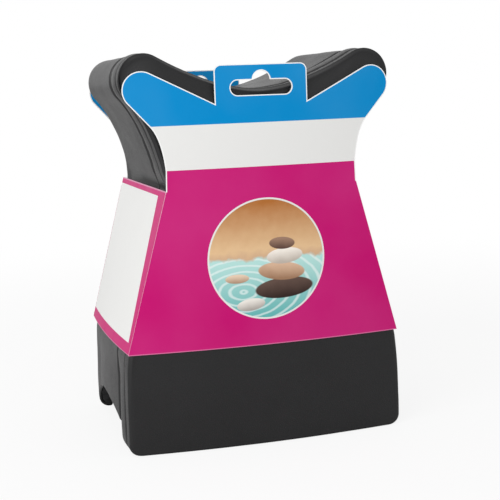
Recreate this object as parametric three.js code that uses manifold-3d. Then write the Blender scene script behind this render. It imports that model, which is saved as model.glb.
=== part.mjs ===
// A padded foot and leg rest in its folded card sleeve.
// Millimetres, +Z up, the front faces -Y. The origin is on the floor, midway between the sides and
// midway between the front and the back.
import * as THREE from 'three';
import { mergeVertices } from 'three/addons/utils/BufferGeometryUtils.js';
import Module from 'manifold-3d';

const wasm = await Module();
wasm.setup();

// Overall sizes of the padded block, as seen from the front
const depth = 112;
const baseHalfWidth = 74.4;
const baseCornerRadius = 5.5;
const slantLowHeight = 52.9;
const slantLowHalfWidth = 72;
const slantHighHeight = 134.2;
const slantHighHalfWidth = 49.4;
const wingCentreHalfWidth = 58;
const wingCentreHeight = 189.6;
const wingRadius = 12.7;
const wingHeartRadius = 1.2;
const wingUnderAngle = THREE.MathUtils.degToRad(-42);
const wingTopAngle = THREE.MathUtils.degToRad(120);
const saddleHeight = 183.6;
const waistTurn = 3;
const wingUnderReach = 20;
const wingTopReach = 22;
const saddleFlat = 14;

// Covers, foam and the gaps between them
const coverThickness = 1.4;
const clearance = 0.3;
const seamDip = 1;
const seamLip = 1.6;
const seamLipShare = 0.3;
const flatAfterSeam = 3.6;
const frontEdgeRadius = 4.5;
const frontSeamDepth = 9;
const frontPadDepth = 26;
const backEdgeRadius = 16;
const crownHeight = 5;
const crownHalfWidth = 73;
const frontBottomShare = 0.25;
const hubHeight = 130;
const threadRadius = 0.35;
const threadDip = 0.5;

// The arched underside: a channel from side to side and a second arch through the back wall
const channelCrown = 20.5;
const channelFrontDepth = 19.5;
const backFootDepth = 11;
const backArchSideWall = 8.4;
const backArchSpring = 7;
const backArchCrown = 19;

// The card sleeve
const cardThickness = 0.6;
const sleeveEdgeTop = 144.5;
const sleeveFlareHalfWidth = 57;
const sleeveFlareHeight = 166.6;
const sleeveFlarePullHalfWidth = 51.5;
const sleeveFlarePullHeight = 160.6;
const sleeveWingOutset = 2.2;
const sleeveWingDrop = 5.4;
const sleeveWingRadius = 9.4;
const sleeveWingUnderAngle = THREE.MathUtils.degToRad(-43);
const sleeveWingTopAngle = THREE.MathUtils.degToRad(117);
const tabHalfWidth = 24.2;
const tabRise = 12;
const notchDepth = 19.1;
const tabCornerRadius = 3.6;
const slotHalfLength = 16;
const slotRadius = 3.7;
const slotDrop = 11.6;
const slotDomeRadius = 4.5;
const lapWidth = 9.4;
const sleeveWaistOutset = 0.6;

// Counts of steps along the curves
const stepCounts = { bottom: 4, corner: 4, base: 4, slant: 3, waist: 7, wing: 10, saddle: 8 };
const sheetSteps = 24;
const archSteps = 24;
const threadSides = 4;
const slotSteps = 8;
const overrun = 20;

const cornerX = baseHalfWidth - baseCornerRadius;
const backArchHalfSpan = baseHalfWidth - backArchSideWall;
const sleeveWingHalfWidth = wingCentreHalfWidth + sleeveWingOutset;
const sleeveWingHeight = wingCentreHeight - sleeveWingDrop;
const sleeveWaistHalfWidth = slantHighHalfWidth + sleeveWaistOutset;
const tabHeight = saddleHeight + tabRise;
const notchHeight = tabHeight - notchDepth;
const slotHeight = tabHeight - slotDrop;
const frontY = -depth / 2;
const backY = depth / 2;
const slant = (slantLowHalfWidth - slantHighHalfWidth) / (slantHighHeight - slantLowHeight);
const slantAngle = Math.atan(slant);
const slantX = (z) => slantLowHalfWidth - slant * (z - slantLowHeight);
const sleeveStep = (clearance + cardThickness) / Math.cos(slantAngle);
const creaseX = (z) => slantX(z) + sleeveStep;
const crown = (x) => crownHeight * (1 - (x / crownHalfWidth) ** 2);

const vinyl = new THREE.MeshStandardMaterial({ color: 0x29292b, roughness: 0.55, metalness: 0 });
const sideVinyl = new THREE.MeshStandardMaterial({ color: 0x323234, roughness: 0.5, metalness: 0 });
const liningCloth = new THREE.MeshStandardMaterial({ color: 0x1e1e20, roughness: 0.95, metalness: 0 });
const foam = new THREE.MeshStandardMaterial({ color: 0x6d6e70, roughness: 1, metalness: 0 });
const blackThread = new THREE.MeshStandardMaterial({ color: 0x161617, roughness: 0.9, metalness: 0 });
const printedCard = new THREE.MeshStandardMaterial({ color: 0xc62879, roughness: 0.45, metalness: 0 });
const plainCard = new THREE.MeshStandardMaterial({ color: 0xe4e4e1, roughness: 0.7, metalness: 0 });

// Solids and meshes

function orient(geometry) {
  const index = geometry.index.array;
  const p = geometry.attributes.position;
  const [a, b, c] = [new THREE.Vector3(), new THREE.Vector3(), new THREE.Vector3()];
  let volume = 0;
  for (let i = 0; i < index.length; i += 3) {
    a.fromBufferAttribute(p, index[i]);
    b.fromBufferAttribute(p, index[i + 1]);
    c.fromBufferAttribute(p, index[i + 2]);
    volume += a.dot(b.cross(c));
  }
  if (volume < 0) {
    for (let i = 0; i < index.length; i += 3) {
      [index[i], index[i + 1]] = [index[i + 1], index[i]];
    }
  }
  return geometry;
}

function solid(geometry) {
  geometry.deleteAttribute('normal');
  geometry.deleteAttribute('uv');
  const merged = orient(mergeVertices(geometry));
  return new wasm.Manifold(new wasm.Mesh({
    numProp: 3,
    vertProperties: merged.attributes.position.array,
    triVerts: new Uint32Array(merged.index.array),
  }));
}

function toGeometry(body) {
  const mesh = body.getMesh();
  const geometry = new THREE.BufferGeometry();
  geometry.setAttribute('position', new THREE.BufferAttribute(mesh.vertProperties, 3));
  geometry.setIndex(new THREE.BufferAttribute(mesh.triVerts, 1));
  geometry.computeVertexNormals();
  return geometry;
}

function node(name, body, material) {
  const mesh = new THREE.Mesh(toGeometry(body), material);
  mesh.name = name;
  return mesh;
}

// A shape drawn in two of the axes, pushed along the third one
function prism(shape, axis, from, to) {
  const options = { depth: to - from, bevelEnabled: false, curveSegments: slotSteps };
  const geometry = new THREE.ExtrudeGeometry(shape, options);
  const p = geometry.attributes.position;
  for (let i = 0; i < p.count; i++) {
    const [u, v, w] = [p.getX(i), p.getY(i), from + p.getZ(i)];
    const place = { x: [w, u, v], y: [u, w, v], z: [u, v, w] }[axis];
    p.setXYZ(i, ...place);
  }
  return solid(geometry);
}

// The block's outline, seen from the front: the right half runs from the middle of the bottom edge,
// round the corner, up the side, round the wing and down to the middle of the saddle

function halfOutline() {
  const at = (x, z) => new THREE.Vector2(x, z);
  const bulgeHeight = slantLowHeight - (baseHalfWidth - slantLowHalfWidth) / slant;
  const waistTop = at(slantX(slantHighHeight), slantHighHeight);
  const wing = (angle) => at(
    wingCentreHalfWidth + wingRadius * Math.cos(angle),
    wingCentreHeight + wingRadius * Math.sin(angle),
  );
  const along = (angle) => at(-Math.sin(angle), Math.cos(angle));
  const under = wing(wingUnderAngle);
  const over = wing(wingTopAngle);
  const curves = [
    [new THREE.LineCurve(at(0, 0), at(cornerX, 0)), stepCounts.bottom],
    [new THREE.EllipseCurve(cornerX, baseCornerRadius, baseCornerRadius, baseCornerRadius, -Math.PI / 2, 0),
      stepCounts.corner],
    [new THREE.QuadraticBezierCurve(at(baseHalfWidth, baseCornerRadius), at(baseHalfWidth, bulgeHeight),
      at(slantLowHalfWidth, slantLowHeight)), stepCounts.base],
    [new THREE.LineCurve(at(slantLowHalfWidth, slantLowHeight), waistTop), stepCounts.slant],
    [new THREE.CubicBezierCurve(waistTop,
      at(slantX(slantHighHeight + waistTurn), slantHighHeight + waistTurn),
      under.clone().addScaledVector(along(wingUnderAngle), -wingUnderReach), under), stepCounts.waist],
    [new THREE.EllipseCurve(wingCentreHalfWidth, wingCentreHeight, wingRadius, wingRadius,
      wingUnderAngle, wingTopAngle), stepCounts.wing],
    [new THREE.CubicBezierCurve(over, over.clone().addScaledVector(along(wingTopAngle), wingTopReach),
      at(saddleFlat, saddleHeight), at(0, saddleHeight)), stepCounts.saddle],
  ];
  const points = [at(0, 0)];
  for (const [curve, steps] of curves) {
    points.push(...curve.getPoints(steps).slice(1));
  }
  return points;
}

function closedOutline() {
  const right = halfOutline();
  const left = right.slice(1, -1).reverse().map((p) => new THREE.Vector2(-p.x, p.y));
  const points = [...right, ...left];
  return points.map((point, i) => {
    const before = points[(i + points.length - 1) % points.length];
    const after = points[(i + 1) % points.length];
    const normal = new THREE.Vector2(after.y - before.y, before.x - after.x).normalize();
    return { point, normal };
  });
}

const outline = closedOutline();

function insetLimit(height) {
  const rise = THREE.MathUtils.smoothstep(height, slantLowHeight, slantHighHeight);
  return THREE.MathUtils.lerp(backEdgeRadius, wingRadius - wingHeartRadius, rise);
}

// A ring is the outline drawn in and set at one depth. Along the bottom and its corners the inset only
// draws the sides together: upwards it is a share of itself at the front and nothing at the back, so the
// feet stay flat. lean is the share of deep that is drawn in, but along the bottom all of it is. reach
// shrinks the ring towards the hub line, and bow adds that share of the crown. The inset stops short of
// the wings' centres, so that no ring folds over itself there.
function ring({ inset = 0, deep = 0, lean = 1, y, reach = 1, bow = 0 }) {
  const bottomShare = y < 0 ? frontBottomShare : 0;
  return outline.map(({ point, normal }) => {
    const down = Math.max(0, -normal.y);
    const sunk = deep * (lean + (1 - lean) * down);
    const foot = point.y <= baseCornerRadius;
    const drawn = Math.min(inset, insetLimit(point.y)) * (1 - (1 - bottomShare) * down);
    const across = foot ? inset * THREE.MathUtils.clamp(point.x / cornerX, -1, 1) : normal.x * drawn;
    const upward = foot ? normal.y * inset * bottomShare : normal.y * drawn;
    const x = (point.x - across - normal.x * sunk) * reach;
    const z = hubHeight + (point.y - upward - normal.y * sunk - hubHeight) * reach;
    return new THREE.Vector3(x, y + bow * crown(x), z);
  });
}

// A ring on a pad's rounded edge, at an angle from the side wall round to the face.
// side is -1 at the front and 1 at the back, and sink lies that far under the surface.
function rolled(side, radius, angle, sink = 0) {
  return ring({
    inset: radius * (1 - Math.cos(angle)),
    deep: sink,
    lean: Math.cos(angle),
    y: side * (depth / 2 - radius * (1 - Math.sin(angle)) - sink * Math.sin(angle)),
    bow: side * Math.sin(angle) ** 4,
  });
}

// Rings joined one to the next, each four-sided face split along its shorter diagonal. A single
// point in the list closes the surface there.
function loft(rings, { closed = false } = {}) {
  const points = rings.flat();
  const triangles = [];
  const lists = [];
  for (const r of rings) {
    const start = lists.length ? lists.at(-1).start + lists.at(-1).count : 0;
    lists.push({ start, count: Array.isArray(r) ? r.length : 1 });
  }
  const join = (a, b) => {
    for (let i = 0; i < Math.max(a.count, b.count); i++) {
      const [a0, a1] = [a.start + (i % a.count), a.start + ((i + 1) % a.count)];
      const [b0, b1] = [b.start + (i % b.count), b.start + ((i + 1) % b.count)];
      const forward = points[a0].distanceTo(points[b1]) < points[a1].distanceTo(points[b0]);
      if (a0 !== a1) triangles.push(a0, a1, forward ? b1 : b0);
      if (b0 !== b1) triangles.push(forward ? a0 : a1, b1, b0);
    }
  };
  lists.forEach((list, i) => {
    if (i + 1 < lists.length) join(list, lists[i + 1]);
  });
  if (closed) join(lists.at(-1), lists[0]);
  const geometry = new THREE.BufferGeometry().setFromPoints(points);
  geometry.setIndex(triangles);
  return solid(geometry);
}

// The crowned face of a pad, from its rounded edge's last angle to the middle
function crownedFace(side, radius, lastAngle, sink, reaches) {
  const inset = radius * (1 - Math.cos(lastAngle));
  const y = side * (depth / 2 - sink);
  const lean = Math.cos(lastAngle);
  const rings = reaches.map((reach) => ring({ inset, deep: sink, lean, y, reach, bow: side }));
  return [...rings, new THREE.Vector3(0, y + side * crown(0), hubHeight)];
}

const degrees = (list) => list.map(THREE.MathUtils.degToRad);
const frontAngles = degrees([0, 30, 60, 84]);
const backAngles = degrees([0, 16, 32]);
const [backLip, backRim, backCoverRim, backCoverLip] = degrees([41, 47, 48.6, 54.6]);
const backFaceAngles = degrees([70, 84]);
const outerReachShares = [0.72, 0.37];
const innerReachShares = [0.62, 0.3];
const lipDip = seamDip * seamLipShare;

// The front and back cover panels, each a dish of cover material with a rolled edge

function frontCover() {
  const seamY = frontY + frontSeamDepth;
  const skin = (sink, reaches) => [
    ...frontAngles.map((angle) => rolled(-1, frontEdgeRadius, angle, sink)),
    ...crownedFace(-1, frontEdgeRadius, frontAngles.at(-1), sink, reaches),
  ];
  return loft([
    ring({ deep: seamDip, y: seamY }),
    ring({ deep: lipDip, y: seamY - seamLip }),
    ...skin(0, outerReachShares),
    ...skin(coverThickness, innerReachShares).reverse(),
    ring({ deep: seamDip + coverThickness, y: seamY }),
  ], { closed: true });
}

function backCover() {
  const skin = (sink, reaches) => [
    rolled(1, backEdgeRadius, backCoverRim, seamDip + sink),
    rolled(1, backEdgeRadius, backCoverLip, lipDip + sink),
    ...backFaceAngles.map((angle) => rolled(1, backEdgeRadius, angle, sink)),
    ...crownedFace(1, backEdgeRadius, backFaceAngles.at(-1), sink, reaches),
  ];
  const inside = skin(coverThickness, innerReachShares).reverse();
  return loft([...skin(0, outerReachShares), ...inside], { closed: true });
}

// The strips that run round the block: the band behind the front cover and the wide wrap

function frontBand() {
  const start = frontY + frontSeamDepth + clearance;
  const end = frontY + frontPadDepth;
  return loft([
    ring({ deep: seamDip, y: start }),
    ring({ deep: lipDip, y: start + seamLip }),
    ring({ y: start + flatAfterSeam }),
    ring({ y: end - flatAfterSeam }),
    ring({ deep: lipDip, y: end - seamLip }),
    ring({ deep: seamDip, y: end }),
    ring({ deep: seamDip + coverThickness, y: end }),
    ring({ deep: seamDip + coverThickness, y: start }),
  ], { closed: true });
}

function wrapCover() {
  const start = frontY + frontPadDepth + clearance;
  const edge = (sink) => ring({ deep: seamDip + sink, y: start });
  const middle = (sink) => [
    ring({ deep: sink, y: start + flatAfterSeam }),
    ...backAngles.map((angle) => rolled(1, backEdgeRadius, angle, sink)),
  ];
  const rim = (sink) => rolled(1, backEdgeRadius, backRim, seamDip + sink);
  return loft([
    edge(0),
    ring({ deep: lipDip, y: start + seamLip }),
    ...middle(0),
    rolled(1, backEdgeRadius, backLip, lipDip),
    rim(0),
    rim(coverThickness),
    ...middle(coverThickness).reverse(),
    edge(coverThickness),
  ], { closed: true });
}

// The sewing thread that lies in each seam's groove, as a thin cord with a few flat sides

function threadLoop(place) {
  const turns = Array.from({ length: threadSides }, (_, i) => 2 * Math.PI * i / threadSides);
  const rings = turns.map((turn) => (
    place(threadDip - threadRadius * Math.cos(turn), threadRadius * Math.sin(turn))
  ));
  return loft(rings, { closed: true });
}

const sideSeamThread = (setback) => threadLoop((deep, shift) => (
  ring({ deep, y: frontY + setback + clearance / 2 + shift })
));

const backSeamThread = () => threadLoop((sink, shift) => (
  rolled(1, backEdgeRadius, (backRim + backCoverRim) / 2 + shift / backEdgeRadius, sink)
));

// The foam inside

const foamSink = coverThickness + clearance;
const faceSink = coverThickness + seamDip;

function blockFoam(front) {
  const start = frontY + frontPadDepth + clearance;
  return loft([
    new THREE.Vector3(0, front, hubHeight),
    ring({ deep: seamDip + foamSink, y: front }),
    ring({ deep: seamDip + foamSink, y: start + seamLip }),
    ring({ deep: foamSink, y: start + flatAfterSeam }),
    ...backAngles.map((angle) => rolled(1, backEdgeRadius, angle, foamSink)),
    rolled(1, backEdgeRadius, backLip, seamDip + foamSink),
    rolled(1, backEdgeRadius, backCoverLip, seamDip + foamSink),
    ...backFaceAngles.map((angle) => rolled(1, backEdgeRadius, angle, faceSink)),
    ...crownedFace(1, backEdgeRadius, backFaceAngles.at(-1), faceSink, innerReachShares),
  ]);
}

function padFoam() {
  const end = frontY + frontPadDepth;
  return loft([
    new THREE.Vector3(0, end, hubHeight),
    ring({ deep: seamDip + foamSink, y: end }),
    ring({ deep: seamDip + foamSink, y: frontY + frontSeamDepth }),
    ...frontAngles.map((angle) => rolled(-1, frontEdgeRadius, angle, foamSink)),
    ...crownedFace(-1, frontEdgeRadius, frontAngles.at(-1), foamSink, innerReachShares),
  ]);
}

// The arched hollow under the block, grown by a margin for the lining that covers it

function underArch(margin) {
  const start = frontY + channelFrontDepth;
  const end = backY - backFootDepth;
  const halfSpan = (end - start) / 2;
  const middle = (start + end) / 2;
  const arch = (centre, span, spring, height) => {
    const shape = new THREE.Shape();
    shape.moveTo(centre - span, -overrun);
    for (let i = 0; i <= archSteps; i++) {
      const angle = Math.PI * (1 - i / archSteps);
      shape.lineTo(centre + span * Math.cos(angle), spring + (height - spring) * Math.sin(angle));
    }
    shape.lineTo(centre + span, -overrun);
    return shape;
  };
  const sideArch = arch(middle, halfSpan + margin, 0, channelCrown + margin);
  const backArch = arch(0, backArchHalfSpan + margin, backArchSpring, backArchCrown + margin);
  return prism(sideArch, 'x', -baseHalfWidth - overrun, baseHalfWidth + overrun)
    .add(prism(backArch, 'y', middle, backY + overrun));
}

// The card sleeve. Its front and back sheets are cut to one outline and bent over the pads' crowns.

function sleeveOutline() {
  const half = [];
  const add = (x, z) => half.push(new THREE.Vector2(x, z));
  const curve = (c, steps) => half.push(...c.getPoints(steps).slice(1));
  add(creaseX(slantLowHeight), slantLowHeight);
  add(creaseX(slantHighHeight), slantHighHeight);
  add(sleeveWaistHalfWidth, sleeveEdgeTop);
  curve(new THREE.QuadraticBezierCurve(
    new THREE.Vector2(sleeveWaistHalfWidth, sleeveEdgeTop),
    new THREE.Vector2(sleeveFlarePullHalfWidth, sleeveFlarePullHeight),
    new THREE.Vector2(sleeveFlareHalfWidth, sleeveFlareHeight),
  ), stepCounts.waist);
  const arc = (x, z, radius, from, to, steps) => (
    half.push(...new THREE.EllipseCurve(x, z, radius, radius, from, to).getPoints(steps))
  );
  arc(sleeveWingHalfWidth, sleeveWingHeight, sleeveWingRadius, sleeveWingUnderAngle, sleeveWingTopAngle,
    stepCounts.wing);
  add(tabHalfWidth, notchHeight);
  arc(tabHalfWidth - tabCornerRadius, tabHeight - tabCornerRadius, tabCornerRadius, 0, Math.PI / 2,
    stepCounts.corner);
  const left = half.map((p) => new THREE.Vector2(-p.x, p.y)).reverse();
  return new THREE.Shape([...half, ...left]);
}

// The hanging slot: a long round-ended hole with a dome over its middle
function hangingSlot() {
  const long = new THREE.Shape();
  const end = slotHalfLength - slotRadius;
  long.absarc(end, slotHeight, slotRadius, -Math.PI / 2, Math.PI / 2, false);
  long.absarc(-end, slotHeight, slotRadius, Math.PI / 2, Math.PI * 3 / 2, false);
  const dome = new THREE.Shape();
  dome.absarc(0, slotHeight + slotRadius, slotDomeRadius, 0, Math.PI * 2, false);
  const through = [frontY - overrun, backY + overrun];
  return prism(long, 'y', ...through).add(prism(dome, 'y', ...through));
}

// A sheet of card bent over a crown, standing its clearance clear of the pad
function bentSheet(side) {
  const faceY = side < 0 ? frontY : backY;
  const reach = sleeveWingHalfWidth + overrun;
  const near = [];
  const far = [];
  for (let i = 0; i <= sheetSteps; i++) {
    const x = reach * (2 * i / sheetSteps - 1);
    const y = faceY + side * (crown(x) + clearance);
    near.push(new THREE.Vector2(x, y));
    far.push(new THREE.Vector2(x, y + side * cardThickness));
  }
  return prism(new THREE.Shape([...near, ...far.reverse()]), 'z', 0, tabHeight + overrun);
}

function sleeveSheet(side) {
  return prism(sleeveOutline(), 'y', frontY - overrun, backY + overrun)
    .subtract(hangingSlot())
    .intersect(bentSheet(side));
}

// A flat panel on the slanted side, between two depths that may follow the bent sheets
function slantedPanel(side, sink, front, back) {
  const edgeX = (z) => side * (creaseX(z) - sink);
  const thick = cardThickness / Math.cos(slantAngle);
  const slab = new THREE.Shape([
    new THREE.Vector2(edgeX(slantLowHeight), slantLowHeight),
    new THREE.Vector2(edgeX(slantHighHeight), slantHighHeight),
    new THREE.Vector2(edgeX(slantHighHeight) - side * thick, slantHighHeight),
    new THREE.Vector2(edgeX(slantLowHeight) - side * thick, slantLowHeight),
  ]);
  const face = new THREE.Shape([
    new THREE.Vector2(front(slantLowHeight), slantLowHeight),
    new THREE.Vector2(back(slantLowHeight), slantLowHeight),
    new THREE.Vector2(back(slantHighHeight), slantHighHeight),
    new THREE.Vector2(front(slantHighHeight), slantHighHeight),
  ]);
  const reach = side * (baseHalfWidth + overrun);
  return prism(slab, 'y', frontY - overrun, backY + overrun)
    .intersect(prism(face, 'x', Math.min(0, reach), Math.max(0, reach)));
}

const behindFront = (z) => frontY - crown(creaseX(z));
const beforeBack = (z) => backY + crown(creaseX(z));
const lapStart = () => backY - lapWidth;
const lapSink = (cardThickness + clearance) / Math.cos(slantAngle);

// The whole rest

const hollow = underArch(0);
const linedHollow = underArch(coverThickness);
const foamHollow = underArch(foamSink);
const foamFront = frontY + frontPadDepth + clearance;
const liningFront = frontY + frontSeamDepth;

const part = new THREE.Group();
part.add(node('front_cover', frontCover(), vinyl));
part.add(node('front_band', frontBand().subtract(hollow), sideVinyl));
part.add(node('front_pad_foam', padFoam().subtract(foamHollow), foam));
part.add(node('wrap_cover', wrapCover().subtract(hollow), sideVinyl));
part.add(node('back_cover', backCover().subtract(hollow), vinyl));
part.add(node('base_lining', blockFoam(liningFront).intersect(linedHollow).subtract(hollow), liningCloth));
part.add(node('foam_core', blockFoam(foamFront).subtract(foamHollow), foam));
part.add(node('front_seam_thread', sideSeamThread(frontSeamDepth), blackThread));
part.add(node('band_seam_thread', sideSeamThread(frontPadDepth).subtract(hollow), blackThread));
part.add(node('back_seam_thread', backSeamThread().subtract(hollow), blackThread));
part.add(node('sleeve_front_sheet', sleeveSheet(-1), printedCard));
part.add(node('sleeve_back_sheet', sleeveSheet(1), printedCard));
for (const [name, side] of [['left', -1], ['right', 1]]) {
  part.add(node(`sleeve_${name}_side`, slantedPanel(side, 0, behindFront, beforeBack), plainCard));
  part.add(node(`sleeve_${name}_lap`, slantedPanel(side, lapSink, lapStart, beforeBack), plainCard));
}

export default part;
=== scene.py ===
"""A padded foot and leg rest in its folded card sleeve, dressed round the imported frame."""
import math

import bmesh
import bpy
import numpy as np
from bpy.props import FloatProperty, FloatVectorProperty, PointerProperty
from mathutils import Matrix, Vector, noise


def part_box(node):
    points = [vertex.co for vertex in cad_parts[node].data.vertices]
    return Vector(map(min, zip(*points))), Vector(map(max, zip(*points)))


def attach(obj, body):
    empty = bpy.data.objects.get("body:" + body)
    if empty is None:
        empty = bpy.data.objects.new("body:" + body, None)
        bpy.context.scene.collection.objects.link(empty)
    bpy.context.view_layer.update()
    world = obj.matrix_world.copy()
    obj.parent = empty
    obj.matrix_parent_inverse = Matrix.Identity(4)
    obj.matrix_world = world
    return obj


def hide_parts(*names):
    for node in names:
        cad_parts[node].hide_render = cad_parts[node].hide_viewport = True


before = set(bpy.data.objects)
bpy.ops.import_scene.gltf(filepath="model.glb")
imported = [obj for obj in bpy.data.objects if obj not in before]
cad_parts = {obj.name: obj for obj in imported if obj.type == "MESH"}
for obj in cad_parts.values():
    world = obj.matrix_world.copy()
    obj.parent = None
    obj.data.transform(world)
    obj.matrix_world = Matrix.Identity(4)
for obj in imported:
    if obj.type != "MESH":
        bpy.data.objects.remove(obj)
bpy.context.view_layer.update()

bl_info = {
    "name": "Padded footrest",
    "version": (1, 0, 0),
    "blender": (4, 5, 0),
    "location": "3D View > Sidebar > Footrest",
    "description": "Builds the covers, seams and card sleeve of a padded foot and leg rest",
    "category": "Object",
}

MM = 0.001
BLOCK_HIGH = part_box("front_cover")[1]


# Sizes and colours


def length(name, description, default):
    return FloatProperty(name=name, description=description, default=default * MM, unit="LENGTH", precision=5)


def turn(name, description, default):
    return FloatProperty(name=name, description=description, default=math.radians(default), unit="ROTATION")


def tint(name, description, default):
    return FloatVectorProperty(
        name=name, description=description, default=default, size=3, min=0.0, max=1.0, subtype="COLOR"
    )


class FootrestBlock(bpy.types.PropertyGroup):
    """Sizes of the padded block"""

    depth: length("Depth", "Distance between the front and back crease planes", 112)
    base_half: length("Base half width", "Half of the widest part of the base", BLOCK_HIGH.x / MM)
    base_corner: length("Base corner", "Radius of the two bottom corners", 5.5)
    slant_low: length("Slant foot height", "Height where the slanted side begins", 52.9)
    slant_low_half: length("Slant foot half width", "Half width where the slanted side begins", 72)
    slant_high: length("Waist height", "Height where the slanted side ends", 134.2)
    slant_high_half: length("Waist half width", "Half width where the slanted side ends", 49.4)
    waist_turn: length("Waist turn", "Straight run that the waist's curve starts with", 3)
    wing_x: length("Wing centre", "Half the distance between the centres of the wings", 58)
    wing_z: length("Wing height", "Height of the centres of the wings", 189.6)
    wing_radius: length("Wing radius", "Radius of each wing", 12.7)
    wing_heart: length("Wing heart", "How near the rolled edges come to a wing's centre", 3.4)
    wing_under: turn("Wing underside", "Angle where the wing's round begins", -42)
    wing_over: turn("Wing top", "Angle where the wing's round ends", 120)
    wing_under_reach: length("Pull under the wing", "Handle of the curve that joins waist and wing", 20)
    wing_top_reach: length("Pull over the wing", "Handle of the curve that joins wing and saddle", 22)
    saddle: length("Saddle height", "Height of the lowest point of the saddle", 183.6)
    saddle_flat: length("Saddle flat", "Handle of the curve at the middle of the saddle", 14)
    front_seam: length("Front seam", "Setback of the seam round the front panel", 9)
    band_seam: length("Band seam", "Setback of the seam behind the band", 26)
    front_edge: length("Front edge radius", "Radius of the front panel's rolled edge", 1.9)
    pillow: length("Wing pillow", "How far the front panel falls away towards its edge above the waist", 2.4)
    pillow_slack: length("Pad slack", "Extra room between the front panel and its foam", 0.4)
    pillow_reach: length("Wing pillow reach", "Distance over which the front panel falls away", 9)
    front_bottom: FloatProperty(
        name="Front foot", description="Share of the rolled edge along the floor", default=0.25
    )
    back_edge: length("Back edge radius", "Radius of the rounded edges at the back", 16)
    back_seam: turn("Back seam", "Angle of the back seam round the rounded edge", 47.8)
    crown: length("Crown", "How far the front and back faces swell", 5)
    crown_half: length("Crown half width", "Half width over which the faces swell", 73)
    hub: length("Face centre height", "Height of the middle of the faces", 130)
    bow: length("Side bow", "How far the sides of the base swell", 2)
    seam_dip: length("Seam depth", "How far a seam is drawn in", 3.0)
    seam_roll: length("Seam shoulder", "Width of the rounded shoulder beside a seam", 1.5)
    base_dip: length("Base seam depth", "How far the band's seam is drawn in at the base", 3.9)
    front_dip: length("Front seam depth at the base", "How far the front seam is drawn in at the base", 0.9)
    back_dip: length("Back seam depth", "How far the back seam is drawn in", 1.6)
    back_roll: length("Back seam shoulder", "Width of the rounded shoulder beside the back seam", 2.4)
    band_swell: length("Band swell", "How far the band swells between its seams", 0.8)
    band_step: length("Band step", "How far the band lies below the wide strip at their seam", 1.9)
    band_step_reach: length("Band step reach", "Distance over which the band comes up again", 4.5)
    tuck: length("Tuck", "How far the sleeve's upper edge presses the covers in", 2.0)
    tuck_reach: length("Tuck reach", "Height over which the covers are pressed in", 5)
    squeeze: length("Squeeze", "How far the pressed foam swells at the rounded back edges", 2.4)
    squeeze_reach: length("Squeeze reach", "Height over which the pressed foam swells", 10)
    squeeze_turn: turn("Squeeze turn", "Angle over which the pressed foam swells at the back", 72)
    foam_slack: length("Foam slack", "Room between the covers and the foam", 2.3)
    pucker: length("Pucker", "Depth of the gathers beside a seam", 0.3)
    cover: length("Cover thickness", "Thickness of the covers", 1.2)
    channel_middle: length("Channel middle", "Depth of the middle of the channel under the block", 4.25)
    channel_half: length("Channel half width", "Half width of the channel under the block", 40.75)
    channel_crown: length("Channel height", "Height of the channel under the block", 20.5)
    arch_half: length("Back arch half span", "Half span of the arch through the back", 66)
    arch_spring: length("Back arch spring", "Height where the back arch begins to curve", 7)
    arch_crown: length("Back arch height", "Height of the back arch", 19)
    hem: length("Hem", "Radius of the cover's turned edge round the arches", 1.4)
    stitch: length("Stitch pitch", "Distance from one stitch to the next", 3.2)
    front_colour: tint("Panel leatherette", "Colour of the front and back panels", (0.0065, 0.0065, 0.0072))
    # The sides' colour is a little lighter than the panels': painted light for the brighter sheen that the
    # sides catch from the left
    side_colour_lit: tint("Side leatherette", "Colour of the band and the wide strip", (0.0085, 0.0085, 0.0090))


class FootrestSleeve(bpy.types.PropertyGroup):
    """Sizes and colours of the card sleeve"""

    gap: length("Gap", "Space between the card and the pad", 0.3)
    card: length("Card", "Thickness of the card", 0.6)
    margin: length("Bare margin", "Width of the bare edge round the cut-outs", 0.5)
    edge_top: length("Edge top", "Height where the straight edge over the waist ends", 144.5)
    waist_half: length("Waist half width", "Half width of the card at the waist", 50)
    flare_half: length("Flare half width", "Half width where the card's wing begins", 57)
    flare: length("Flare height", "Height where the card's wing begins", 166.6)
    flare_pull_half: length("Flare pull half width", "Half width of the flare's handle", 51.5)
    flare_pull: length("Flare pull height", "Height of the flare's handle", 160.6)
    wing_x: length("Wing centre", "Half the distance between the centres of the card's wings", 60.2)
    wing_z: length("Wing height", "Height of the centres of the card's wings", 184.2)
    wing_radius: length("Wing radius", "Radius of each of the card's wings", 9.4)
    wing_under: turn("Wing underside", "Angle where the card's wing begins", -43)
    wing_over: turn("Wing top", "Angle where the card's wing ends", 117)
    back_pinch: length("Back waist", "How much narrower the back sheet is at the waist", 5)
    notch: length("Notch height", "Height of the notches beside the tab", 176.5)
    tab_half: length("Tab half width", "Half width of the hanging tab", 24.2)
    tab_top: length("Tab height", "Height of the top of the hanging tab", 195.6)
    tab_corner: length("Tab corner", "Radius of the tab's corners", 3.6)
    slot_half: length("Slot half length", "Half length of the hanging slot", 16)
    slot_radius: length("Slot radius", "Radius of the hanging slot's ends", 3.7)
    slot_z: length("Slot height", "Height of the hanging slot", 184)
    dome_radius: length("Slot dome", "Radius of the dome over the slot", 4.5)
    white_low: length("White band foot", "Height where the white band begins", 144.6)
    white_high: length("White band top", "Height where the white band ends", 166.6)
    disc_z: length("Disc height", "Height of the middle of the printed disc", 97.5)
    disc_radius: length("Disc radius", "Radius of the printed disc", 31.2)
    blue: tint("Blue", "Colour of the top of the card", (0.0, 0.244, 0.572))
    white: tint("White", "Colour of the white band and fields", (0.765, 0.765, 0.750))
    bare: tint("Bare card", "Colour of the card's cut edges and laps", (0.90, 0.90, 0.89))
    magenta: tint("Magenta", "Colour of the lower part of the card", (0.530, 0.004, 0.152))


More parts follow.
